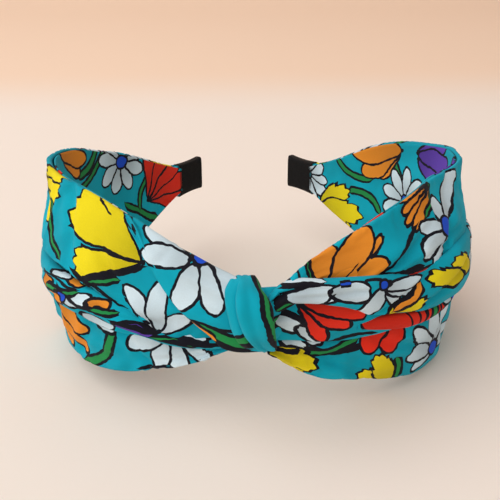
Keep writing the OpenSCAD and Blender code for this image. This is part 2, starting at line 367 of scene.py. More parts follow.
RIGHT_TOP = [
    (0.5, 40.8, 9.4), (1.7, 42.2, 8.8), (3, 43.2, 8), (4.7, 44.3, 7), (6.8, 45.6, 5.6), (8.8, 46.4, 4),
    (12, 47.4, 1.8), (21, 49.8, -2.6), (30, 52.6, -4), (41, 57, -3.2), (50, 59.3, -3.8),
    (64, 60.2, -4.6), (74, 60.4, -1.6), (84, 60.6, 2), (94, 60.8, 2.6), (109, 58.4, 0.8), (123, 55.6, -0.5),
    (136, 51.2, -0.5), (147, 45.4, -0.5), (158, 39.6, -0.4), (168, 35.6, 0)
]


# Beside the hoop, the cloth closes in by DROP over a height of ROUND, from where it has left the knot
DROP = 3.2
ROUND = 2.6
CLEAR_FROM = 40
# Of a turned edge, this much at most may lie nearer the hoop than the rest of the sheet
TUCK = 1.6
# The cloth is smooth by the cap: its gathers fade out over this length before it
FADE = 10


def keep_off_hoop(sheet, past, clear):
    """No gather dips into the hoop, and the cloth goes round its edges: o is at least `clear` over it."""
    s, z, o = np.moveaxis(sheet, -1, 0)
    beside = np.abs(z - HOOP_Z) - np.interp(s, HOOP_NARROWS, HOOP_HALF_HIGH)
    lowest = clear - np.minimum(past, TUCK) - DROP * np.clip(beside / ROUND, 0, 1) ** 1.5
    sheet[..., 2] = np.where((s > CLEAR_FROM) & (beside < ROUND), np.maximum(o, lowest), o)


def build(name, side, rails, top=(), bottom=(), gathers=(), level=0.5, spacing=0.9, rough=0.35, seed=1,
          slack=1.0, creases=(), growth=0.0, clear=1.5):
    """One sheet of cloth through its rails, with gathers, creases and slack in it."""
    sheet, past = loft(turned(rails, top, bottom), spacing, (len(top), len(bottom)))
    prints = cloth_coordinates(sheet, level)
    relief = unevenness(sheet, seed, 0.8 * slack) + unevenness(sheet, seed + 5, rough, 6.0, 3.0)
    for number, gather in enumerate(gathers):
        relief += ripple(sheet, seed * 10 + number, *gather)
    for line in creases:
        relief += crease(sheet, *line)
    relief *= np.clip((CLOTH_END - sheet[..., 0]) / FADE, 0, 1)
    sheet[..., 2] += relief * edge_fade(sheet.shape[1])
    if clear:
        keep_off_hoop(sheet, past, clear)
    piece = grid_mesh(name, place(side, sheet), prints, flip=side == RIGHT)
    return settle(piece, *sheet.shape[:2], growth) if growth else piece


# The outer sheets. A crease is (s, z) at its start, (s, z) at its end, depth, width; a set of gathers is
# height, length, the s that it fans out from, count; top and bottom are the (z, o) of the turned edges
SHEETS = {
    "left_panel": dict(
        seed=2, growth=0.02, top=[(-0.6, -1.0)], bottom=[(0.2, -1.1), (2.5, -1.8)],
        creases=[(66, 58, 58, 44, 1.2, 2.2), (84, 56, 76, 42, 1.0, 2.6), (46, 46, 38, 36, 1.0, 1.8),
                 (100, 54, 92, 42, 0.8, 2.6), (54, 40, 30, 30, 0.8, 1.4)],
        gathers=[(0.5, 22, 12), (0.45, 18, 165)],
        rails=[
            LEFT_TOP,
            [(12, 40, 3), (22, 43, 3), (32, 46, 1.5), (45, 51, -0.8), (60, 53.6, -0.4), (80, 54.6, 2.4),
             (95, 54.6, 3.2), (115, 50.6, 1.8), (135, 44.6, 1.5), (150, 39.6, 1), (168, 33.8, 0.5)],
            [(12, 34, 4), (22, 36.5, 4.4), (32, 40, 4), (45, 45, 3.8), (60, 47.2, 3.4), (80, 48, 3.8),
             (95, 47, 3.4), (115, 44, 3.2), (135, 39, 2.3), (150, 35.6, 1.5), (168, 31.6, 0.8)],
            LEFT_FOLD]),
    "left_wrap": dict(
        seed=3, level=0.55, slack=0.9, top=[(-0.8, -0.9)], bottom=[(0.4, -0.9), (2.4, -1.2)],
        creases=[(1, 40.6, 18, 45, 0.8, 1.2), (1, 33, 15, 35.4, 0.9, 1.3), (24, 52, 30, 44, 0.5, 1.6),
                 (1, 28.6, 13, 30, 0.6, 1.0)],
        gathers=[(0.6, 12, 0, 3)],
        rails=[
            [(1, 43, 9), (4, 44.6, 8.2), (7.4, 45.5, 6.8), (10.4, 46.3, 5), (14, 47, 2.6), (22.4, 49, -1),
             (32, 52, -3.6), (40, 54.7, -5), (45, 54.6, -5.2), (49, 54.2, -5.6)],
            [(0.5, 39, 11), (4, 40.5, 10.5), (9, 42, 8.8), (15, 43.4, 6.2), (23, 45.6, 3), (31, 49.4, 0),
             (38, 53, -3), (43, 54, -4.5), (48.5, 53.4, -5.4)],
            [(0.5, 32, 11), (4, 33, 10.6), (9, 34, 9.8), (14.5, 36.2, 8.2), (20.5, 40, 6), (28, 45.6, 3.2),
             (35.5, 51, -0.6), (41, 53.5, -3.7), (48, 52.6, -5)],
            [(0, 24.4, 8), (3, 24.3, 8.2), (8, 24.4, 8.2), (11, 25.2, 7.8), (14, 28, 7.3), (18.3, 31.6, 6.7),
             (23.3, 36, 5.8), (30.6, 44, 3.3), (38, 51.4, -1.5), (42, 52.8, -3.9), (47.5, 51.8, -4.8)]]),
    "left_rope": dict(
        seed=4, spacing=0.7, slack=1.3, clear=1.9, top=[(0.6, -1.6)], bottom=[(0.4, -1.6), (3, -2.6)],
        creases=[(24, 26.4, 44, 31.6, 1.1, 0.9), (30, 24.6, 50, 28.2, 1.1, 1.0), (48, 33.6, 64, 28, 1.0, 1.2),
                 (60, 34, 80, 29, 0.8, 1.3)],
        gathers=[(0.35, 60, 40, 2)],
        rails=[
            [(9, 26.5, 5), (27, 27.6, 5.2), (34, 30, 5.6), (40, 32.6, 5.8), (55, 35, 6), (72, 36.2, 6),
             (90, 35, 5), (115, 33, 3.6), (135, 31.8, 2.3), (155, 31, 1.3)],
            [(9, 24.8, 6.2), (20, 24.2, 6.8), (27, 25, 7.2), (33, 27.3, 7.9), (40, 29.6, 8.5),
             (48, 30.8, 8.7), (63, 30.9, 8.6), (72, 32, 7.8), (90, 32, 5.8), (115, 31.2, 4.4),
             (135, 30.5, 3.2), (155, 30, 1.8)],
            [(9, 23.4, 5), (20, 22.6, 5.4), (29, 23.6, 5.9), (34, 24.4, 6.4), (42, 24.6, 6.8), (53, 25.8, 7),
             (64, 25.6, 7), (77, 26.4, 6.4), (95, 27.5, 5.2), (115, 28.6, 4), (135, 29, 2.6),
             (155, 29, 1.5)]]),
    "left_skirt": dict(
        seed=5, level=0.6, growth=0.02, bottom=[(0.5, -1.1)],
        creases=[(48, 26, 56, 12, 1.1, 2.0), (38, 22, 32, 15, 0.9, 1.6), (66, 26, 74, 8, 0.8, 2.6)],
        gathers=[(0.5, 20, 9), (0.45, 16, 165)],
        rails=[
            [(9, 26, 4), (27, 29, 4), (45, 31, 4), (70, 32, 4.5), (95, 31, 4), (120, 30.2, 3),
             (145, 29.6, 1.8), (168, 29.2, 0.7)],
            [(9, 25, 4.6), (27, 22.8, 5.4), (45, 22.6, 6.2), (60, 23, 6.2), (71, 23.6, 5.4), (90, 24, 4.2),
             (115, 25, 4), (140, 26.6, 2.5), (168, 27.9, 0.9)],
            [(9, 24.2, 4.8), (19.6, 20, 5), (27, 17.8, 5), (38, 15.2, 5.2), (51, 13.6, 5.2), (63, 13, 4.4),
             (71, 12.4, 3.4), (88, 12, 1.8), (105, 14, 1.6), (125, 18, 2.4), (145, 21.8, 1.8),
             (168, 26.6, 0.8)],
            [(9, 23.6, 4.6), (19.6, 17.8, 4), (27, 15, 4), (38, 11, 3.6), (51, 8.4, 3), (59, 7.4, 1.8),
             (71, 4.6, -0.4), (82, 1.6, -3), (90, 0.7, -4.2), (98, 0.6, -4.4), (106, 1.4, -3.6),
             (115, 3.4, -2.4), (125, 6.8, -1.4), (137, 12, -1), (147, 17.2, -1), (158, 22, -0.6),
             (168, 25.2, 0)]]),
    "right_panel": dict(
        seed=6, growth=0.02, top=[(-0.6, -1.0)],
        creases=[(50, 50, 31, 41, 1.5, 1.8), (70, 58, 56, 44, 1.2, 2.0), (62, 46, 36, 40.4, 0.8, 1.3),
                 (12, 47, 26, 48, 0.5, 1.2), (84, 55, 72, 42, 0.8, 2.4)],
        gathers=[(0.6, 15, 1, 4), (0.45, 18, 165)],
        rails=[
            RIGHT_TOP,
            [(0.5, 39.4, 10), (4, 42.6, 8.4), (13, 45.7, 4.6), (22, 47.2, 1.8), (30, 49, 0.6),
             (41, 51.8, 0.4), (50, 53.6, 0), (64, 54.6, -0.4), (74, 54.8, 1.4), (84, 54.6, 3.2),
             (95, 54.4, 3.2), (110, 52, 2.3), (125, 48.6, 2), (137, 44.6, 1.5), (150, 39.6, 1),
             (168, 33.6, 0.5)],
            [(0.5, 38, 10), (4, 41.6, 8.6), (13, 44, 6.6), (22, 44.4, 5), (30, 45, 4.3), (41, 46.6, 4.4),
             (50, 48, 4.5), (64, 48.8, 4.4), (74, 49, 4.2), (84, 48.6, 3.8), (95, 47.4, 3.4), (110, 45.4, 3),
             (125, 42.4, 3), (137, 39.4, 2.2), (150, 35.8, 1.5), (168, 31.6, 0.8)],
            [(0.5, 36.4, 9), (4, 40, 7.6), (13, 41.5, 6), (22, 40.6, 5.6), (30, 39.6, 5.5), (41, 39, 5.6),
             (50, 39.6, 5.6), (64, 40.4, 5.6), (84, 40, 4.6), (95, 39.4, 3.8), (110, 37.8, 3.8),
             (125, 35.8, 3), (140, 33.4, 2), (168, 29.5, 0.8)]]),
    "right_band": dict(
        seed=7, spacing=0.7, slack=1.2, clear=1.9, top=[(0.4, -1.6)], bottom=[(0.6, -1.4), (3, -2.4)],
        creases=[(2, 41.6, 24, 39.6, 0.9, 0.9), (4, 39.6, 20, 35.6, 0.7, 0.9), (30, 33, 48, 39, 1.2, 1.2),
                 (44, 31, 62, 36, 1.1, 1.2), (10, 36.6, 26, 33, 0.7, 0.8)],
        gathers=[(0.6, 18, 0, 3)],
        rails=[
            [(0, 40.6, 10), (3, 43.4, 8.8), (7, 44.4, 8.2), (12.4, 43.8, 8), (19.4, 43, 7.6),
             (35.4, 40.4, 6.6), (43, 39, 6.6), (51, 40.6, 6.8), (58, 42, 7), (72, 42, 6), (90, 40, 4.6),
             (115, 36.5, 3.6), (140, 33, 2.6), (158, 31, 1.5)],
            [(0, 38.6, 11.4), (4, 41.6, 10.8), (12, 41.8, 10), (21, 39.8, 9.8), (34, 36.4, 9.3),
             (47, 35.2, 9.3), (57, 35.4, 9.2), (72, 35.6, 8), (90, 35, 5.8), (115, 33, 4.6), (140, 31.2, 3.3),
             (158, 30.2, 1.9)],
            [(0, 36, 10.6), (4, 38.2, 10.2), (8.2, 38.8, 9.6), (13.7, 37.5, 9.3), (22, 34.2, 9),
             (26, 31.8, 8.9), (34, 30.4, 8.5), (45, 27.8, 8), (51, 27.4, 7.7), (63, 26.8, 7.6),
             (72, 27.2, 6.6), (90, 28.6, 4.8), (115, 29.3, 3.8), (140, 29.5, 2.6), (158, 29.3, 1.5)]]),
    "right_fan": dict(
        seed=8, spacing=0.7, slack=0.5, bottom=[(0.3, -1.2), (2.5, -1.8)],
        gathers=[(0.55, 12, 0, 3)],
        rails=[
            [(0, 38, 8.6), (4, 40, 8.4), (8, 39.6, 8), (14, 38.4, 7.6), (20, 36, 7.4), (27, 33.4, 7),
             (36, 31.4, 6.6), (46, 29.6, 6.2)],
            [(0, 34.6, 10), (8, 34.4, 9.2), (14, 32.6, 8.6), (20, 31, 8.2), (27, 29.6, 7.8), (36, 28.4, 7.2),
             (46, 27.4, 6.4)],
            [(0, 31, 10), (8, 30, 9), (14, 28.4, 8.4), (20, 27.4, 7.9), (27, 26.8, 7.5), (36, 26.6, 7),
             (46, 26.4, 6.2)],
            [(0, 28, 8.6), (8, 26.6, 7.8), (14, 25.2, 7.4), (20, 24.4, 7), (27, 24.2, 6.8), (36, 24.6, 6.4),
             (46, 25.2, 5.8)]]),
    "right_roll": dict(
        seed=9, spacing=0.5, slack=0.4, top=[(0.3, -1.5)], bottom=[(0.5, -1.5), (2, -2.2)],
        rails=[
            [(23, 29.6, 7.6), (30, 30, 8), (38, 28.6, 8), (46, 27.4, 7.6), (55, 27.4, 7), (64, 28.6, 5.8)],
            [(23, 28.4, 8.4), (30, 28.2, 9), (38, 26.6, 9), (46, 25.6, 8.5), (55, 25.9, 7.8),
             (64, 27.6, 6.4)],
            [(23, 27.6, 7.4), (30, 26, 7.8), (38, 24.2, 7.8), (46, 23.6, 7.2), (55, 24.4, 6.6),
             (64, 26.8, 5.4)]]),
    "right_skirt": dict(
        seed=10, level=0.6, growth=0.02, bottom=[(0.5, -1.1)],
        creases=[(8, 24, 24, 13, 1.0, 1.7), (30, 22, 46, 14, 1.2, 2.0), (56, 24, 64, 8, 0.9, 2.4)],
        gathers=[(0.6, 14, 1, 4), (0.45, 16, 165)],
        rails=[
            [(0, 30, 7), (4, 30, 6), (14, 30, 5), (30, 30, 5.2), (50, 30, 5.4), (75, 31, 5), (100, 31, 4),
             (125, 30.2, 3), (145, 29.6, 1.8), (168, 29.2, 0.7)],
            [(0, 27, 9), (4, 26.6, 8), (10, 25.6, 7), (20, 23.6, 6.6), (30, 22, 6.4), (45, 21.4, 6.2),
             (58, 22, 5.8), (72, 23, 4.4), (90, 24, 3.4), (115, 25, 4), (140, 26.6, 2.5), (168, 27.9, 0.9)],
            [(0, 25, 9), (3, 23.4, 8), (8, 20.8, 6.8), (16, 17.6, 5.8), (26, 15.4, 5.4), (44, 13, 5),
             (58, 13.2, 4), (72, 12.6, 2.8), (90, 12.4, 2), (105, 14.2, 2), (125, 18, 2.4), (145, 21.8, 1.8),
             (168, 26.6, 0.8)],
            [(0, 24, 8), (0.9, 23.3, 7.6), (2.4, 21.6, 6.6), (4.8, 19.2, 5.8), (8.6, 16.2, 5.2),
             (12, 13.8, 4.6), (24.6, 9.6, 4), (36, 6.2, 3.6), (44, 4.2, 3), (53, 3, 2.2), (62, 1.8, 1),
             (72, 0.8, -1.2), (84, 0.6, -3.2), (95, 0.6, -3.6), (106, 1.6, -3), (118, 4.6, -2),
             (130, 9.2, -1.2), (143, 14.6, -1), (152, 18, -0.8), (160, 21.4, -0.5), (168, 24.8, 0)]]),
}


def lining(name, side, top, bottom, seed):
    """The inner sheet, a straight strip over the hoop whose two edges meet the outer cloth."""
    gap = 0.9
    inner = -HOOP_T / 2 - gap
    half_high = HOOP_HALF_HIGH[0]
    # It closes in on the hoop over its last stretch, before it goes into the cap
    closes_from, closes_over, closes_by = 150, 18, 0.5
    high = [(-1, 38.4, 2.5), (6, 39.2, 2)] + shifted([p for p in top if 9 < p[0] < 28], z=-2.2, o=-1.3)
    high = np.array(high + shifted([p for p in top if p[0] > 28], z=-0.5, o=-1.3))
    low = np.array([(-1, 21.4, 2.5), (6, 21, 2)] + shifted([p for p in bottom if p[0] > 9], z=0.6, o=-1.5))
    stations = [-1, 6, *range(14, 155, 10), 168]
    rails = []
    for share in (0, 0.12, 0.28, 0.5, 0.72, 0.88, 1):
        rail = []
        for s in stations:
            z_high, z_low = (np.interp(s, line[:, 0], line[:, 1]) for line in (high, low))
            z = z_high + (z_low - z_high) * share
            line, span = (high, max(0.1, z_high - HOOP_Z - half_high)) if z > HOOP_Z else (low, 0.1)
            reach = max(0.0, abs(z - HOOP_Z) - half_high) / span
            edge = np.interp(s, line[:, 0], line[:, 2])
            back = inner + closes_by * max(0.0, (s - closes_from) / closes_over)
            rail.append((s, z, back + (edge - back) * min(1, reach) ** 1.5))
        rails.append(rail)
    return build(name, side, rails, seed=seed, spacing=1.1, rough=0.12, slack=0.25, clear=None)


def oval(s, half_high, half_deep, steps, power=0.3, out=0.0):
    """A ring of points round the hoop at s, squared off like the hoop: the lower the power, the squarer."""
    points = []
    for k in range(steps + 1):
        turn = 2 * math.pi * k / steps
        z = math.copysign(abs(math.sin(turn)) ** 0.3, math.sin(turn)) * half_high
        o = math.copysign(abs(math.cos(turn)) ** power, math.cos(turn)) * half_deep
        points.append((s, HOOP_Z + z, o + out))
    return points


def sleeve(name, side, first=14, over=0.4, beside=0.3):
    """The cloth tube that covers the hoop under the outer sheets, from s = first to the cap."""
    sheet = np.array([
        oval(s, np.interp(s, HOOP_NARROWS, HOOP_HALF_HIGH) + over, HOOP_T / 2 + beside, 48)
        for s in np.linspace(first, CLOTH_END, 120)])
    return grid_mesh(name, place(side, sheet), sheet[..., :2].copy(), flip=side == LEFT)


# The two turns of cloth that make the knot, as rails that go once round it from its back: up, over and down
STRAP_BACK_LOW = [(-1.5, 26.5, 3), (-2.4, 34, 2)]
STRAP_BACK_HIGH = [(-2.4, 34, 2), (-3.8, 41, 2.6), (-5, 44.6, 5)]
KNOT_MIDDLE = np.array([-2.6, 35, 8.5])


def inward(rail, share):
    """The rail drawn in towards the middle of the knot."""
    rail = np.array(rail, float)
    return rail + (KNOT_MIDDLE - rail) * share


def ring(name, rails, seed, count):
    """A strap that goes round the knot, with both its edges turned in."""
    # Shares of the way to the knot's middle
    near, far = 0.05, 0.16
    first, last = rails[0], rails[-1]
    rails = [inward(first, far), inward(first, near), *rails, inward(last, near), inward(last, far)]
    sheet, _ = loft(rails, 0.5)
    prints = strap_coordinates(sheet)
    relief = unevenness(sheet, seed, 0.5, 5, 9) + ripple(sheet, seed, 0.4, 400, count=count)
    sheet[..., 2] += relief * edge_fade(sheet.shape[1], 0.15)
    return grid_mesh(name, place(RIGHT, sheet), prints, flip=True)


def knot_strap():
    left = [(-6.6, 44.6, 8.6), (-7, 43.2, 12.2), (-6.9, 40.4, 14.4), (-6, 35.6, 14.7), (-4.4, 30.7, 12.8),
            (-1.4, 25.8, 9), (-1.2, 24.6, 5.5)]
    middle = [(-4.6, 44.9, 9.2), (-4, 43.8, 13), (-3.4, 41, 15.6), (-2.6, 36.2, 16.2), (-1.7, 30.8, 14.3),
              (0.2, 25.3, 9.6), (0.4, 24, 5.5)]
    right = [(-2, 43, 8.8), (-0.6, 42, 11.8), (0.2, 40.4, 13.8), (0.5, 37, 14.8), (1, 32, 13.1),
             (1.7, 26, 9.2), (1.8, 24.6, 5.5)]
    rails = [shifted(STRAP_BACK_HIGH, s=x) + line + shifted(STRAP_BACK_LOW, s=x)
             for x, line in ((-1.8, left), (0, middle), (1.8, right))]
    return ring("knot_strap", rails, 11, 3)


def knot_fold():
    left = [(-9.2, 44.6, 6), (-9.6, 43, 9.6), (-9.3, 39.7, 11.4), (-8.7, 36.8, 12), (-7.8, 31.8, 11.2),
            (-6, 27, 9), (-4, 25, 5.5)]
    right = [(-6, 45, 7), (-6.2, 43.6, 11), (-6, 40, 12.6), (-5.4, 36.4, 12.8), (-4.2, 31, 12),
             (-2, 26, 9), (-1.4, 24.8, 5.5)]
    middle = [((a + d) / 2, (b + e) / 2, (c + f) / 2 + 0.9) for (a, b, c), (d, e, f) in zip(left, right)]
    rails = [shifted(STRAP_BACK_HIGH, s=x, o=0.6) + line + shifted(STRAP_BACK_LOW, s=x, o=0.6)
             for x, line in ((-5, left), (-3.4, middle), (-2, right))]
    return ring("knot_fold", rails, 12, 2)


def knot_strands():
    """The gathered cloth inside the knot, from one side of it to the other, widest in the middle."""
    rings = []
    for x in range(-12, 13, 2):
        spread = min(1, abs(x) / 8)
        half_high = 8 - 1.8 * spread
        half_deep = 5 - 3.2 * spread
        z, o = 34 + 0.05 * x, 7.4 - 4.4 * spread
        ring_points = []
        for k in range(33):
            turn = 2 * math.pi * k / 32
            pucker = 1 + 0.09 * math.cos(5 * turn + 0.25 * x)
            ring_points.append((x, z + half_high * pucker * math.sin(turn),
                                o - half_deep * pucker * math.cos(turn)))
        rings.append(ring_points)
    sheet = np.array(rings, float)
    prints = cloth_coordinates(sheet, 0.5)
    return grid_mesh("knot_strands", place(RIGHT, sheet), prints, flip=True)


# ---------- the black caps ----------

def tip_cover(name, side):
    """A ribbed ribbon cap over the end of the hoop, pressed flat at its end."""
    ribs, rib_height, half_wall, out = 26, 0.05, 1.85, 0.1
    first, last = CLOTH_END - 1.2, ARM_LENGTH + 1.2
    rings = []
    for s in np.linspace(first, last, ribs * 8):
        share = (s - first) / (last - first)
        rib = rib_height * math.cos(2 * math.pi * ribs * share)
        # The last 7% of its length is pressed flat
        ending = max(0.0, (share - 0.93) / 0.07)
        half_high = 6.5 + 0.5 * (2 * share - 1) ** 2 - 0.35 * ending ** 2
        rings.append(oval(s, half_high, (half_wall + rib) * (1 - 0.55 * ending ** 2), 64, 0.35, out))
    sheet = np.array(rings, float)
    # The end face closes to a point
    middle = [HOOP_Z, out]
    end = sheet[-1:].copy()
    end[..., 1:] = (end[..., 1:] - middle) * 0.01 + middle
    sheet = np.concatenate([sheet, (sheet[-1:] + end) / 2, end])
    return grid_mesh(name, place(side, sheet), sheet[..., :2].copy(), flip=side == LEFT)


# ---------- materials ----------

def operator(operation):
    """A method that adds a math node of this kind and returns its value."""
    def method(self, *others):
        return self.nodes.math(operation, self, *others)
    return method


class Value:
    """A node's output. Sums, products and comparisons of values add the nodes that work them out."""

    __add__ = operator("ADD")
    __sub__ = operator("SUBTRACT")
    __mul__ = operator("MULTIPLY")
    __truediv__ = operator("DIVIDE")
    __lt__ = operator("LESS_THAN")
    __gt__ = operator("GREATER_THAN")
    __abs__ = operator("ABSOLUTE")

    def __init__(self, nodes, socket):
        self.nodes = nodes
        self.socket = socket

    def __rsub__(self, other):
        return self.nodes.math("SUBTRACT", other, self)


class Nodes:
    """Short ways to add the nodes of one tree. Each returns the node's output as a Value."""

    def __init__(self, tree):
        self.tree = tree

    def put(self, value, socket):
        if isinstance(value, Value):
            self.tree.links.new(value.socket, socket)
        else:
            socket.default_value = value

    def fill(self, node, inputs):
        """Links or sets a node's inputs, by their names or numbers."""
        for key, value in inputs.items():
            self.put(value, node.inputs[key])

    def add(self, kind, inputs=None, output=0, **settings):
        node = self.tree.nodes.new(kind)
        for key, value in settings.items():
            setattr(node, key, value)
        self.fill(node, inputs or {})
        return Value(self, node.outputs[output]) if node.outputs else None

    def math(self, operation, *values):
        return self.add("ShaderNodeMath", dict(enumerate(values)), operation=operation)

    def vector(self, operation, *values):
        return self.add("ShaderNodeVectorMath", dict(enumerate(values)), operation=operation)

    def scaled(self, vector, factor):
        return self.add("ShaderNodeVectorMath", {0: vector, "Scale": factor}, operation="SCALE")

    def length(self, a, b):
        return self.math("SQRT", a * a + b * b)

    def split(self, vector):
        """The x and y of a vector."""
        x = self.add("ShaderNodeSeparateXYZ", {0: vector})
        return x, Value(self, x.socket.node.outputs[1])

    def mix(self, factor, a, b):
        return self.add("ShaderNodeMix", {0: factor, 6: a, 7: b}, 2, data_type="RGBA")

    def noise(self, vector, scale, detail=2.0, output=0):
        return self.add("ShaderNodeTexNoise", {"Vector": vector, "Scale": scale, "Detail": detail}, output)

    def ramp(self, value, low, high, to_low=0.0, to_high=1.0):
        return self.add("ShaderNodeMapRange", dict(enumerate((value, low, high, to_low, to_high))),
                        interpolation_type="SMOOTHSTEP")

    def bump(self, height, strength, distance):
        return self.add("ShaderNodeBump", {"Height": height, "Strength": strength, "Distance": distance})


def new_material(name):
    """A material, its nodes and its shader."""
    material = bpy.data.materials.new(name)
    material.use_nodes = True
    n = Nodes(material.node_tree)
    return material, n, n.tree.nodes["Principled BSDF"]


def new_group(name, inputs):
    """A group's nodes and its inputs by name: a Base colour, a Place vector and the others."""
    tree = bpy.data.node_groups.new(name, "ShaderNodeTree")
    kinds = {"Base": "Color", "Place": "Vector"}
    for label in ("Base", "Place", *inputs):
        kind = "Color" if label.endswith("Color") else kinds.get(label, "Float")
        tree.interface.new_socket(label, in_out="INPUT", socket_type="NodeSocket" + kind)
    tree.interface.new_socket("Color", in_out="OUTPUT", socket_type="NodeSocketColor")
    n = Nodes(tree)
    source = tree.nodes.new("NodeGroupInput")
    return n, {socket.name: Value(n, socket) for socket in source.outputs}


# Print colours, linear
TEAL = (0.0, 0.42, 0.57, 1)
WHITE = (0.64, 0.81, 0.90, 1)
YELLOW = (0.82, 0.70, 0.01, 1)
ORANGE = (0.80, 0.28, 0.025, 1)
RED = (0.80, 0.03, 0.012, 1)
PURPLE = (0.11, 0.05, 0.42, 1)
BLUE = (0.01, 0.08, 0.65, 1)
GREEN = (0.015, 0.27, 0.07, 1)
OUTLINE = (0.006, 0.006, 0.012, 1)

# A petal is widest at this share of its length, and a jagged one has this many teeth per radian
WIDEST = 0.62
TEETH = 6.4


def petals_group():
    """Petals that fan out from a point, with black outlines and a round blue centre."""
    n, i = new_group("petals", ["X", "Y", "Turn", "Step", "Ends", "Odd", "Start", "Reach", "Half", "Jag",
                                "Line", "Core", "Petal Color"])
    x, y = n.split(i["Place"])
    x, y = x - i["X"], y - i["Y"]
    cos, sin = n.math("COSINE", i["Turn"]), n.math("SINE", i["Turn"])
    a, b = x * cos + y * sin, y * cos - x * sin
    angle, r = n.math("ARCTAN2", b, a), n.length(a, b)
    # Each point belongs to the petal whose direction is nearest
    order = n.math("ROUND", angle / i["Step"] - i["Odd"]) + i["Odd"]
    order = n.math("MAXIMUM", n.math("MINIMUM", order, i["Ends"]), i["Ends"] * -1.0)
    off = angle - order * i["Step"]
    along, beside = r * n.math("COSINE", off), r * n.math("SINE", off)
    # Its outline is two half ellipses that share the line where it is widest
    size = i["Reach"] - i["Start"]
    from_widest = along - (i["Start"] + size * WIDEST)
    outer = from_widest > 0.0
    half_long = size * (WIDEST - outer * (2 * WIDEST - 1))
    p, q = from_widest / half_long, beside / i["Half"]
    level, steep = n.length(p, q), n.length(p / half_long, q / i["Half"])
    # Distance outside the petal's edge, in millimetres, with teeth on its outer half
    edge = (level - 1.0) * level / n.math("MAXIMUM", steep, 0.001)
    edge = edge + n.math("PINGPONG", off * TEETH, 0.5) * i["Jag"] * outer
    # Neighbouring petals are kept apart along the line half way between them
    apart = n.math("SINE", i["Step"] * 0.5 - abs(off))
    edge = n.math("MAXIMUM", edge, i["Line"] * 0.5 - r * apart)
    # A petal is darker towards its base: painted shade, for depth
    painted_shade_petal = n.scaled(i["Petal Color"], n.ramp(along, i["Start"], i["Reach"], 0.72, 1.05))
    drawn = n.mix(edge < i["Line"], i["Base"], OUTLINE)
    drawn = n.mix(edge < 0.0, drawn, painted_shade_petal)
    drawn = n.mix(r < i["Core"] + i["Line"], drawn, OUTLINE)
    n.add("NodeGroupOutput", {"Color": n.mix(r < i["Core"], drawn, BLUE)})
    return n.tree


def stem_group():
    """A stem: part of a circle, with black edges."""
    n, i = new_group("stem", ["X", "Y", "Radius", "Middle", "Spread", "Half", "Line", "Stem Color"])
    x, y = n.split(i["Place"])
    x, y = x - i["X"], y - i["Y"]
    turn = n.math("ARCTAN2", y, x) - i["Middle"]
    turn = abs(n.math("WRAP", turn, math.pi, -math.pi))
    taper = n.ramp(turn, i["Spread"], i["Spread"] * 0.7)
    edge = abs(n.length(x, y) - i["Radius"]) - i["Half"] * taper
    there = turn < i["Spread"]
    drawn = n.mix(there * (edge < i["Line"] * taper), i["Base"], OUTLINE)
    n.add("NodeGroupOutput", {"Color": n.mix(there * (edge < -0.05), drawn, i["Stem Color"])})
    return n.tree


PETALS = petals_group()
STEM = stem_group()


def fan(x, y, turn, reach, petals, step, color, half=None, start=0.12, jag=0.0, line=0.8, core=0.0):
    """Petals spread by a step, in degrees, round the direction `turn`, out to `reach` millimetres."""
    step = math.radians(step)
    half = half or reach * math.tan(min(step, 0.9) / 2) * 0.52
    return x - reach, x + reach, PETALS, {
        "X": x, "Y": y, "Turn": math.radians(turn), "Step": step, "Ends": (petals - 1) / 2,
        "Odd": 0.0 if petals % 2 else 0.5, "Start": start * reach, "Reach": reach, "Half": half, "Jag": jag,
        "Line": line, "Core": core, "Petal Color": color}


def petal(x0, y0, x1, y1, half, jag=0.0, color=WHITE, line=0.8):
    """One petal from its base to its tip."""
    turn = math.degrees(math.atan2(y1 - y0, x1 - x0))
    return fan(x0, y0, turn, math.hypot(x1 - x0, y1 - y0), 1, 170, color, half, 0.04, jag, line)


def petals(color, *places):
    """Petals of one colour, each with its own place, half width and teeth."""
    return [petal(*place, color=color) for place in places]


def daisy(x, y, reach, turn=0):
    """A whole white flower with a blue centre."""
    return fan(x, y, turn, reach, 9, 40, WHITE, start=0.2, core=reach * 0.17)


def tulip(x, y, turn, reach, step=30):
    """Three broad yellow petals with toothed ends."""
    half = reach * math.tan(math.radians(step) / 2) * 1.25
    return fan(x, y, turn, reach, 3, step, YELLOW, half, start=0.02, jag=reach * 0.14)


def eye(x, y, reach, core):
    """A flower's blue centre, with the base of one petal under it."""
    return fan(x, y, 0, reach, 1, 200, BLUE, 0.2 + 0.1 * reach, core=core)


# Distance between threads, in millimetres
THREAD = 0.42


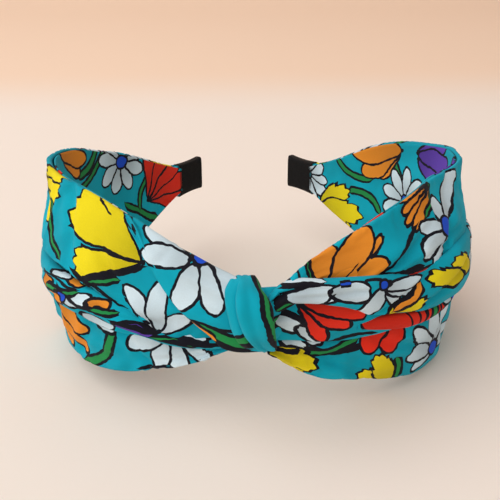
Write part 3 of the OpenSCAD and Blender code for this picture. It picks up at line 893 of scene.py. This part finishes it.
def cloth_material(name, motifs):
    """Printed plain-weave cotton: the motifs in order over teal, with threads, slubs and a faint sheen."""
    material, n, shader = new_material(name)
    uv = n.add("ShaderNodeUVMap", uv_map="cloth")
    # The outlines are drawn by hand: a slow bend, and a finer one where the ink spreads, in millimetres
    where = uv
    for scale, reach in ((0.11, 3.0), (0.75, 0.45)):
        shift = n.vector("SUBTRACT", n.noise(uv, scale, 0.0, 1), (0.5, 0.5, 0.5))
        where = n.vector("MULTIPLY_ADD", shift, (reach, reach, 0), where)
    darker = tuple(0.78 * c for c in TEAL[:3]) + (1,)
    color = n.mix(n.ramp(n.noise(uv, 0.06), 0.35, 0.65), darker, TEAL)
    for _, _, group, values in motifs:
        color = n.add("ShaderNodeGroup", {"Base": color, "Place": where, **values}, node_tree=group)
    # Ink takes unevenly on the threads
    x, y = n.split(uv)
    pitch = 2 * math.pi / THREAD
    weave = n.math("SINE", x * pitch) * n.math("SINE", y * pitch)
    slub = n.noise(uv, 2.4, 3.0)
    creases = n.math("MINIMUM", abs(n.noise(uv, 0.16, 2.5) - 0.5), 0.14)
    n.fill(shader, {
        "Base Color": n.scaled(color, weave * 0.035 + slub * 0.16 + 0.92),
        "Normal": n.bump(weave * 0.5 + slub * 0.9 + creases * 9.0, 0.3, 0.00012),
        "Roughness": n.ramp(slub, 0.2, 0.8, 0.72, 0.88),
        "Sheen Weight": 0.04, "Sheen Roughness": 0.5, "Specular IOR Level": 0.15})
    return material


def plain_material(name, color, roughness, specular=0.5):
    """Moulded plastic or ribbon: a colour with fine grain in it."""
    material, n, shader = new_material(name)
    speck = n.noise(n.add("ShaderNodeTexCoord", output="Object"), 900.0, 3.0)
    light = tuple(min(1, 1.25 * c) for c in color[:3]) + (1,)
    n.fill(shader, {
        "Base Color": n.mix(speck, color, light), "Normal": n.bump(speck, 0.2, 0.0001),
        "Roughness": n.ramp(speck, 0.2, 0.8, roughness - 0.06, roughness + 0.06),
        "Specular IOR Level": specular})
    return material


# ---------- the print on each sheet: motifs placed by (s, height) in millimetres ----------

def curve(x0, y0, x1, y1, bow, half=0.8, color=GREEN, line=0.9):
    """A stem from one point to another that bows to its left by `bow`, or to its right if negative."""
    # A straight line is drawn as part of a very large circle
    bow = bow if abs(bow) > 0.05 else 0.05
    start, end = Vector((x0, y0)), Vector((x1, y1))
    chord = end - start
    radius = chord.length_squared / (8 * abs(bow)) + abs(bow) / 2
    out = Vector((-chord.y, chord.x)).normalized() * math.copysign(1, bow)
    centre = (start + end) / 2 - out * (radius - abs(bow))
    spread = math.asin(min(1, chord.length / 2 / radius))
    if abs(bow) > radius:
        spread = math.pi - spread
    low, high = min(x0, x1) - abs(bow) - half, max(x0, x1) + abs(bow) + half
    return low, high, STEM, {
        "X": centre.x, "Y": centre.y, "Radius": radius, "Middle": math.atan2(out.y, out.x), "Spread": spread,
        "Half": half, "Line": line, "Stem Color": color}


def ink(x0, y0, x1, y1, bow=0.0, half=0.6):
    """A black line."""
    return curve(x0, y0, x1, y1, bow, half, OUTLINE, 0.05)


def inks(*places):
    """Black lines, each with its own place, bow and half width."""
    return [ink(*place) for place in places]


def scatter(seed, s_from, s_to, z_from, z_to, pitch=17.0):
    """Seeded flowers and stems over a stretch of cloth that the front view doesn't show."""
    rng = random.Random(seed)
    found = []
    columns = max(1, round((s_to - s_from) / pitch))
    rows = max(1, round((z_to - z_from) / pitch))
    for column in range(columns):
        for row in range(rows):
            x = s_from + (column + 0.5) * (s_to - s_from) / columns + rng.uniform(-3, 3)
            y = z_from + (row + 0.5) * (z_to - z_from) / rows + rng.uniform(-2.5, 2.5)
            turn = rng.uniform(0, 360)
            kind = (column * 2 + row * 3 + rng.randint(0, 1)) % 5
            found.append(curve(x - 8, y - 7, x + 9, y + 5, rng.choice((-3, 3)), 0.8))
            if kind in (0, 3):
                found.append(daisy(x, y, 8.5, turn))
            elif kind == 1:
                found.append(tulip(x - 5, y, turn, 14, 32))
            elif kind == 2:
                found.append(fan(x - 4, y - 3, turn, 13, 4, 34, ORANGE))
            else:
                found.append(fan(x - 4, y + 2, turn, 12, 4, 33, rng.choice((RED, PURPLE))))
    return found


MOTIFS = {
    "left_panel": scatter(21, 104, 166, 30, 58) + [
        fan(33.7, 45.3, 31, 33, 1, 46, YELLOW, half=14, start=0, jag=4), ink(55, 61.6, 47.4, 57, 0.3, 0.3),
        fan(33.7, 45.3, -10, 22, 1, 29, YELLOW, half=8, start=0, jag=3), ink(53, 35.4, 32, 44.6, -0.8, 0.8),
        curve(50, 35.2, 39, 40, -0.5, 0.4),
        *petals(WHITE, (28, 26.6, 37.8, 38.6, 1.8), (28, 27, 19, 33, 2.4), (28, 27, 28.8, 40.8, 3.0)),
        tulip(91, 58.4, 188, 20.5, 22), curve(75, 54, 59.5, 38.6, 1.2, 0.45),
        # This black line along the rope's top is partly print and partly painted shadow of the fold above the
        # rope
        ink(57, 38.8, 36, 31.4, -0.4, 0.6),
    ],
    "left_wrap": [
        *inks((45, 58, 36.6, 46.6, 0.8, 0.7), (41, 57.4, 37.2, 50.6, 0.6, 0.5)),
        *petals(WHITE, (21.5, 50.6, 35, 54.8, 2.2), (14.4, 49.6, 5, 37.6, 3.2), (15.8, 48.6, 12.8, 35.6, 2.9),
            (18.4, 48.4, 21.8, 36, 3.0), (20.4, 49.4, 33.8, 47.4, 3.1)), eye(17, 51.2, 3, 2.7),
        ink(24, 34.4, 3, 31.4, 1.2, 0.6), curve(18, 32, 2, 27, 0.8, 1.0), ink(20, 29.6, 2, 24.6, 0.6, 0.6),
        curve(20, 32.8, 13, 27.6, 0.2, 0.7, color=ORANGE), petal(28, 26, 17, 28.2, 1.4),
    ],
    "left_rope": scatter(22, 78, 150, 24, 36, 15) + [
        *petals(ORANGE, (70, 31.6, 57.6, 28.4, 2.2), (57.4, 36.6, 51, 36.4, 1.0)),
        ink(70, 34, 50, 34.6, 0.6, 0.4),
        *petals(WHITE, (64, 35.2, 56.6, 36.8, 1.0), (57, 29.8, 46.6, 32, 1.8)),
        curve(66, 30, 50, 34, 0.8, 0.5), eye(57, 30.2, 2, 1.1), ink(60, 33, 44, 29.4, 0.8, 0.5),
        petal(47, 31, 41.6, 33.8, 1.2, color=ORANGE), curve(46, 30, 38, 32.4, 0.4, 0.4),
        petal(50, 26.6, 40.8, 25.6, 1.4), petal(40, 28.2, 29, 26.6, 1.1, color=PURPLE),
        *inks((54, 37, 34, 33.2, -0.8, 0.5), (42, 29.4, 26, 27.4, 0.6, 0.5)),
        curve(31, 26, 17, 24.6, 0.4, 0.5), ink(34, 24.6, 10, 25.8, 0.6, 0.5), petal(27, 29, 16, 26.4, 0.9),
    ],
    "left_skirt": scatter(23, 76, 166, 6, 30) + [
        *petals(ORANGE, (68, 24, 61, 11.4, 2.4), (68, 25, 53, 13, 2.7), (68, 26, 52.2, 20.6, 2.8)),
        curve(42.6, 26, 56, 9.4, -4.4, 1.1),
        *petals(WHITE, (24.8, 24.8, 14.4, 20.6, 1.7), (25.6, 25.4, 22.6, 15, 2.5), (27, 25.4, 29, 14.4, 2.6),
            (26.6, 25.2, 37.4, 20.2, 2.6), (50, 25.6, 42, 23.8, 1.2)),
        *inks((36, 12.4, 24, 16, -0.4, 0.4), (60, 8, 34, 10, 0.5, 0.4)),
    ],
    "right_panel": scatter(24, 92, 166, 30, 58) + [
        *inks((5.4, 50, 4.4, 42, 0.2, 0.3), (8, 50.6, 7, 42, 0.2, 0.35), (12.4, 54, 12, 38.6, 0.3, 1.0)),
        curve(11.4, 54, 10.4, 40, 0.3, 0.3),
        *petals(ORANGE, (14.2, 39.6, 17.8, 53.6, 4.2), (16, 40.6, 32.8, 44.2, 3.0), (28, 46.8, 34, 51.6, 0.8),
            (15.4, 40.4, 30.6, 54.8, 3.8)), petal(12.6, 37, 24, 44, 3.2, color=ORANGE, line=0),
        ink(25, 45.8, 17.4, 40.6, 0.4, 0.2),
        *petals(ORANGE, (56.2, 61.8, 41.2, 60, 1.2), (56.2, 61.4, 42.4, 56.2, 1.4), (56, 61, 43.2, 53, 1.3),
            (56, 60.6, 45.4, 50.6, 1.4)), curve(58, 63, 50, 52.6, 0.8, 0.3),
        *inks((48, 52.6, 29.6, 38.4, -0.5, 0.6), (30, 39.4, 45, 39.8, 0.5, 0.9)),
        petal(49, 37.4, 33, 38.2, 1.2, color=RED),
        *petals(WHITE, (56, 48.4, 58.4, 58, 2.4), (57, 48.6, 75, 60.6, 2.6), (55, 48.8, 47.6, 50.6, 1.9),
            (55.4, 46.6, 48.6, 37.6, 1.8), (54.4, 47.6, 44.6, 41.8, 2.4)), eye(56.4, 48.2, 3, 2.4),
        tulip(84, 44, 20, 13),
    ],
    "right_band": scatter(25, 68, 150, 26, 40, 15) + [
        curve(2, 47, 14, 44.8, 0.3, 0.7, color=WHITE),
        *inks((2, 45, 13, 43.2, 0.3, 0.5), (0, 39.2, 8, 42.6, 0.4, 0.8)), curve(1, 37.4, 6, 40.4, 0.3, 0.4),
        *petals(WHITE, (3.4, 42, 18, 40.8, 2.2), (14.6, 41.6, 25.4, 40.4, 2.4)),
        *inks((13, 38.4, 16.6, 40.8, 0, 0.25), (24, 42.8, 31, 41.8, 0.4, 0.4)),
        curve(17, 43.6, 21, 43.4, 0.1, 0.4, color=BLUE),
        *petals(WHITE, (31.8, 39, 21.4, 33.8, 2.3), (31, 37.6, 34, 32.8, 1.4), (31, 38.2, 40.6, 35.4, 1.7),
            (31, 39, 42.6, 38.8, 1.7)), eye(30.6, 40.4, 2, 1.2),
        petal(31, 30.6, 43.6, 31.8, 2.3, 1.6, color=YELLOW),
        curve(43, 37.4, 32, 30.8, 0.5, 0.7, color=ORANGE),
        *petals(YELLOW, (67, 32.6, 53.8, 39, 3.2, 2.2), (59, 33.4, 44.8, 37, 2.8, 1.8)),
    ],
    "right_fan": [
        *inks((0, 38.6, 9, 39.8, 0.4, 1.1), (1, 36.8, 10, 31.2, 0.9, 0.9)), curve(7, 37.6, 11, 30, 0.3, 0.35),
        *petals(WHITE, (1.2, 34.6, 7.6, 30.6, 1.7), (6.6, 31.4, 14.6, 26, 1.5)),
        ink(7.6, 39, 12.8, 26.6, -0.8, 0.9),
        *petals(RED, (7.8, 39.2, 14.8, 26, 1.9), (8, 39.4, 19.8, 29, 1.9), (8, 39.6, 24, 32.4, 2.2)),
        ink(13, 24.6, 30, 25, 0.6, 0.6),
    ],
    "right_roll": [
        petal(22, 30.4, 58, 23.6, 5.6, color=RED),
        *inks((37.6, 30.5, 38.6, 22, 1, 0.35), (41.2, 30.5, 42, 22, 1, 0.35), (43.6, 30, 44.4, 22, 1, 0.5)),
        curve(46.6, 30, 47.2, 23, 1, 0.6), ink(49, 30, 49.6, 23, 1, 0.5), daisy(58, 26, 7),
    ],
    "right_skirt": scatter(26, 68, 166, 6, 30) + [
        *petals(WHITE, (3.2, 28.8, 9.8, 24.2, 1.5), (7, 30, 14.4, 25.4, 1.4)),
        ink(9, 25, 27, 20.4, -1.4, 1.1), curve(9.6, 22, 25, 23.2, -0.5, 0.6),
        *petals(YELLOW, (0.6, 24, 8.4, 14.6, 1.9), (0.4, 25.2, 13.2, 17.2, 3.2, 1.8)),
        ink(0, 26, 9, 23.4, -0.4, 0.7), *petals(RED, (34.4, 31, 34.6, 17, 3.3), (32, 31, 27, 18.2, 3.3)),
        *petals(YELLOW, (37, 5.6, 25, 11.2, 3.2, 1.7), (36.6, 5, 30.4, 16.6, 3.0, 1.7)),
        curve(37.6, 14.4, 38.6, 5, 0.5, 0.6),
        *petals(WHITE, (54, 12, 50.6, 25, 2.2), (55, 12, 60.4, 23, 2.3), (53, 9.4, 44.2, 6.6, 1.5),
            (53, 11.4, 42.4, 21.6, 2.2), (53, 10.4, 41.2, 12.6, 2.4), (56, 10, 68, 12, 2.4)),
        eye(54.6, 10, 3, 2.1),
    ],
    "left_lining": scatter(27, 0, 92, 4, 58) + [
        curve(121, 57, 106, 49.6, 3.6, 0.8), curve(128, 58, 102, 44, 4, 0.6),
        *petals(ORANGE, (99, 58, 108, 49.6, 2.6), (97.6, 60.6, 113, 53.2, 3.3)),
        curve(134, 31, 152, 19, -1.5, 0.8), curve(141, 24, 149, 39, 1.6, 0.6),
        fan(146.6, 28, 32, 23, 5, 25, RED, half=4.6, start=0), daisy(133.8, 47.6, 12.6, 8),
        daisy(120, 17, 10), fan(106, 30, 120, 12, 4, 34, PURPLE),
    ],
    "right_lining": scatter(28, 0, 92, 4, 58) + [
        curve(154, 44, 133, 39.6, 4.6, 0.9), curve(147, 29.4, 128.2, 24.4, -4.4, 0.9),
        curve(124, 52, 112, 40, 3, 0.7), fan(168.6, 31, 176, 11, 5, 34, WHITE, half=2.1, start=0.2),
        *petals(YELLOW, (160, 20, 141.6, 13.6, 3.6, 2.2), (161, 22.4, 145.6, 30.6, 3.8, 2.4),
            (161, 21, 137.4, 21.6, 4.4, 2.8)),
        *petals(ORANGE, (121, 52, 131.6, 41, 2.8), (121, 52.4, 139.6, 39.6, 3.6), (120, 53, 145, 47.4, 4.4)),
        daisy(115.6, 34.6, 12.8, 10),
        *petals(PURPLE, (110, 52, 97, 47.4, 2.8), (111, 55, 96, 61.4, 2.8), (111, 54, 91.6, 54.8, 3.2)),
        fan(110, 12, 90, 11, 4, 34, ORANGE),
    ],
    "knot_strap": [
        ink(4.2, -80, 4.2, 80, 0, 0.8), curve(3, -80, 3, 80, 0, 0.55), ink(1.9, -80, 2.1, 80, 0, 0.55),
    ],
    "knot_fold": [curve(-5, 34, 5, 28, 0.5, 0.9), ink(-5, 36.4, 5, 31, 0.5, 0.5)],
    "knot_strands": [ink(-14, 36, 14, 36, 1, 0.8), curve(-14, 32, 14, 33, 1, 0.8)],
}


# ---------- putting it together ----------

# Two lengths of s beside the knot, by the crown and on the arm; finish_piece places them but does not use
# them
KNOT_SIDE = 8
ARM_SIDE = 26

# A sheet has one material for each stretch of this length, with the motifs that come within a margin of it
BAND = 46
BAND_FROM = -20
BAND_MARGIN = 3


def paint_cloth(piece, motifs):
    """Gives each stretch of the sheet a material with the motifs that reach it, so that none is too long."""
    mesh = piece.data
    places = read(mesh.uv_layers["cloth"].data, "uv", 2, np.float32)
    starts = read(mesh.polygons, "loop_start", kind=int)
    bands = np.floor((places[0::2][starts] - BAND_FROM) / BAND).astype(int)
    mesh.materials.clear()
    found = sorted(set(bands.tolist()))
    for band in found:
        low = band * BAND + BAND_FROM - BAND_MARGIN
        high = (band + 1) * BAND + BAND_FROM + BAND_MARGIN
        here = [motif for motif in motifs if motif[1] > low and motif[0] < high]
        mesh.materials.append(cloth_material(f"{piece.name}_print_{band}", here))
    order = {band: number for number, band in enumerate(found)}
    mesh.polygons.foreach_set("material_index", [order[band] for band in bands.tolist()])


# The CAD nodes that each sheet stands for
NODES = {
    "left_wrap": ["left_upper_wing"], "left_rope": ["left_middle_pleat"],
    "left_skirt": ["left_lower_wing"], "right_panel": ["right_upper_wing"],
    "right_band": ["right_band_pleat"], "right_roll": ["right_red_pleat"],
    "right_skirt": ["right_lower_wing"], "knot_strap": ["knot_wrap"], "knot_strands": ["knot_core"],
    "left_lining": ["left_lining_panel", "crown_lining"], "right_lining": ["right_lining_panel"],
}
SIDES = {"left": LEFT, "right": RIGHT}


def finish_piece(piece):
    """Gives a sheet its thickness and its print; a piece of the knot is tied to the crown."""
    thicken(piece)
    paint_cloth(piece, MOTIFS.get(piece.name, []))
    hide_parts(*NODES.get(piece.name, []))
    where = piece.name.split("_")[0]
    if where == "knot":
        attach(piece, "crown")
        return
    start, end = place(SIDES[where], np.array([[KNOT_SIDE, 0, 0], [ARM_SIDE, 0, 0]], float))
    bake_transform(piece)


def make_cloth():
    for name, settings in SHEETS.items():
        finish_piece(build(name, SIDES[name.split("_")[0]], **settings))
    for make in (knot_strap, knot_fold, knot_strands):
        finish_piece(make())
    finish_piece(lining("left_lining", LEFT, LEFT_TOP, LEFT_BOTTOM, 13))
    finish_piece(lining("right_lining", RIGHT, RIGHT_TOP, RIGHT_BOTTOM, 14))
    for name, side in SIDES.items():
        finish_piece(sleeve(f"{name}_sleeve", side))


def make_caps():
    ribbon = plain_material("ribbon", (0.004, 0.004, 0.0045, 1), 0.7, specular=0.2)
    for name, side in SIDES.items():
        cover = tip_cover(f"{name}_tip_cover", side)
        cover.data.materials.append(ribbon)
        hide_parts(f"{name}_tip_cap")
        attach(cover, f"{name}_arm")


def paint_hoop():
    plastic = plain_material("hoop_plastic", (0.55, 0.55, 0.52, 1), 0.45)
    for name in ("hoop_crown", "hoop_left_arm", "hoop_right_arm"):
        mesh = frame["nodes"][name].data
        mesh.materials.clear()
        mesh.materials.append(plastic)


# ---------- the studio ----------

# The camera's turn and height round its aim, in degrees, and its distance in metres
CAMERA_TURN = -3.2
CAMERA_HEIGHT = 23.0
CAMERA_DISTANCE = 0.262
AIM = Vector((0, 0.00416, 0.030))

# In metres: the floor's half width, where it ends in front, and the backdrop's foot, bend and top
FLOOR_SIDE = 4
FLOOR_FRONT = -4.0
BACKDROP_FOOT = 0.9
BACKDROP_BEND = 0.5
BACKDROP_TOP = 1.6

# Each soft light: name, size, power, place and colour
LIGHTS = (
    ("key", 2.0, 15.5, (-0.75, -0.25, 0.95), (1.0, 0.98, 0.96)),
    ("front", 1.4, 1.8, (-0.6, -1.1, 0.9), (1.0, 0.98, 0.96)),
    ("back", 1.4, 1.6, (0.1, 1.2, 0.9), (1.0, 0.95, 0.9)),
)


def paper_material():
    """Pale paper that grows warmer towards the back: that warm tint is painted warm light."""
    material, n, shader = new_material("paper")
    place = n.add("ShaderNodeTexCoord", output="Object")
    _, back = n.split(place)
    n.fill(shader, {
        "Roughness": 0.9, "Normal": n.bump(n.noise(place, 400.0), 0.05, 0.001),
        "Base Color": n.mix(n.ramp(back, 0.28, 0.46), (0.93, 0.86, 0.79, 1), (0.95, 0.75, 0.59, 1))})
    return material


def make_studio():
    """The paper floor, which curves up into the backdrop, the lights and the world."""
    profile = [(FLOOR_FRONT, 0.0), (BACKDROP_FOOT, 0.0)]
    for angle in range(5, 91, 5):
        turn = math.radians(angle)
        profile.append((BACKDROP_FOOT + BACKDROP_BEND * math.sin(turn), BACKDROP_BEND * (1 - math.cos(turn))))
    profile.append((BACKDROP_FOOT + BACKDROP_BEND, BACKDROP_TOP))
    points = [(x, y, z) for y, z in profile for x in (-FLOOR_SIDE, FLOOR_SIDE)]
    faces = [(2 * k, 2 * k + 1, 2 * k + 3, 2 * k + 2) for k in range(len(profile) - 1)]
    mesh = bpy.data.meshes.new("floor")
    mesh.from_pydata(points, [], faces)
    mesh.polygons.foreach_set("use_smooth", [True] * len(faces))
    mesh.materials.append(paper_material())
    floor = bpy.data.objects.new("floor", mesh)
    link(floor)

    for name, size, power, spot, color in LIGHTS:
        data = bpy.data.lights.new(name, "AREA")
        data.size = size
        data.energy = power
        data.color = color
        light = bpy.data.objects.new(name, data)
        light.location = spot
        light.rotation_euler = (AIM - light.location).to_track_quat("-Z", "Y").to_euler()
        link(light)

    world = bpy.data.worlds.new("studio")
    world.use_nodes = True
    background = world.node_tree.nodes["Background"].inputs
    background["Color"].default_value = (1.0, 0.87, 0.81, 1)
    background["Strength"].default_value = 0.46
    bpy.context.scene.world = world
    bpy.context.scene.view_settings.view_transform = "Standard"


def make_camera():
    turn, height = math.radians(CAMERA_TURN), math.radians(CAMERA_HEIGHT)
    back = Vector((math.sin(turn) * math.cos(height), -math.cos(turn) * math.cos(height), math.sin(height)))
    data = bpy.data.cameras.new("camera")
    data.lens = 54
    data.sensor_width = 36
    data.shift_x = -0.007
    data.shift_y = -0.036
    data.clip_start = 0.01
    camera = bpy.data.objects.new("camera", data)
    camera.location = AIM + back * CAMERA_DISTANCE
    camera.rotation_euler = (-back).to_track_quat("-Z", "Y").to_euler()
    link(camera)
    bpy.context.scene.camera = camera


make_camera()
make_studio()
paint_hoop()
make_cloth()
make_caps()
